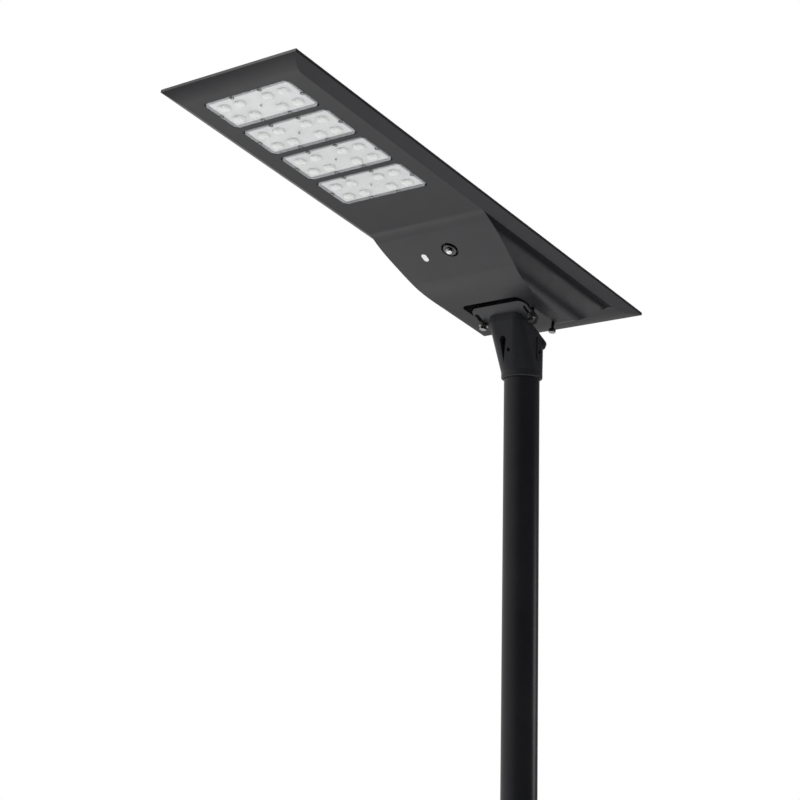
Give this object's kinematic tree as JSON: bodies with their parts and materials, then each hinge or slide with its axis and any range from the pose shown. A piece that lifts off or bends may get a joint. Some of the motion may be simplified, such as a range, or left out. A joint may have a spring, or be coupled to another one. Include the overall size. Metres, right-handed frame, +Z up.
{
  "type": "solar street lamp",
  "caption": "Solar street lamp: long flat LED head with lens modules beneath and a solar panel on top, tilting on a pole bracket, on a round steel pole with a base plate.",
  "frame": {"origin": "on the pole's axis at the base plate's underside, at the centre of the anchor bolt pattern", "axes": "+Z up along the pole; the lamp head's LED end points to -X; +Y to the left looking from the pole's rear towards +X reversed, completing a right-handed frame"},
  "size_m": [1.1337, 0.4, 2.8468],
  "materials": {
    "black_casting": "satin black powder coat",
    "black_pole": "satin black powder coat",
    "black_bracket": "satin black powder coat",
    "panel_glass": "clear tempered",
    "solar_cell": "dark blue cell under glass",
    "backsheet": "white film",
    "seal": "black silicone",
    "stainless": "stainless",
    "black_plastic": "moulded",
    "led_board": "white solder mask",
    "led_chip": "phosphor",
    "clear_lens": "clear moulded lens",
    "circuit_board": "green board",
    "battery_cell": "blue sleeve",
    "button_metal": "dark plated",
    "button_cap": "polished dome",
    "indicator": "milky white",
    "wire": "red insulation"
  },
  "bodies": {
    "post": {"pole": "black_pole", "base_plate": "black_pole", "base_gussets": "black_pole", "pole_adapter": "black_bracket", "set_screws": "stainless"},
    "head": {"housing": "black_casting", "panel_frame": "black_casting", "panel_glass": "panel_glass", "solar_cells": "solar_cell", "panel_backsheet": "backsheet", "panel_gasket": "seal", "frame_screws": "stainless", "junction_box": "black_plastic", "led_board_1": "led_board", "led_board_2": "led_board", "led_board_3": "led_board", "led_board_4": "led_board", "led_chips_1": "led_chip", "led_chips_2": "led_chip", "led_chips_3": "led_chip", "led_chips_4": "led_chip", "lens_plate_1": "clear_lens", "lens_plate_2": "clear_lens", "lens_plate_3": "clear_lens", "lens_plate_4": "clear_lens", "lens_gasket_1": "seal", "lens_gasket_2": "seal", "lens_gasket_3": "seal", "lens_gasket_4": "seal", "lens_screws": "stainless", "battery_case": "black_plastic", "battery_lid": "black_plastic", "battery_cells": "battery_cell", "controller_box": "black_plastic", "controller_lid": "black_plastic", "controller_board": "circuit_board", "controller_feet": "black_casting", "button_body": "button_metal", "button_seal": "seal", "button_nut": "button_metal", "indicator_lens": "indicator", "indicator_board": "circuit_board", "wiring": "wire", "hinge_pin": "stainless", "hinge_nuts": "stainless", "tilt_bolts": "stainless", "wedge_washers": "stainless", "rear_bolts": "stainless"},
    "button": {"button_cap": "button_cap"}
  },
  "joints": [
    {"name": "head_tilt", "type": "hinge", "parent": "post", "child": "head", "pos_m": [-0.07739, 0, 2.59341], "axis": [0, 1, 0], "range_deg": [0, 16]},
    {"name": "button_press", "type": "slide", "parent": "head", "child": "button", "axis": [0.5344, 0, 0.8453], "range_m": [0, 0.0025], "stiffness_N_per_m": 400, "springref_m": -0.001}
  ]
}
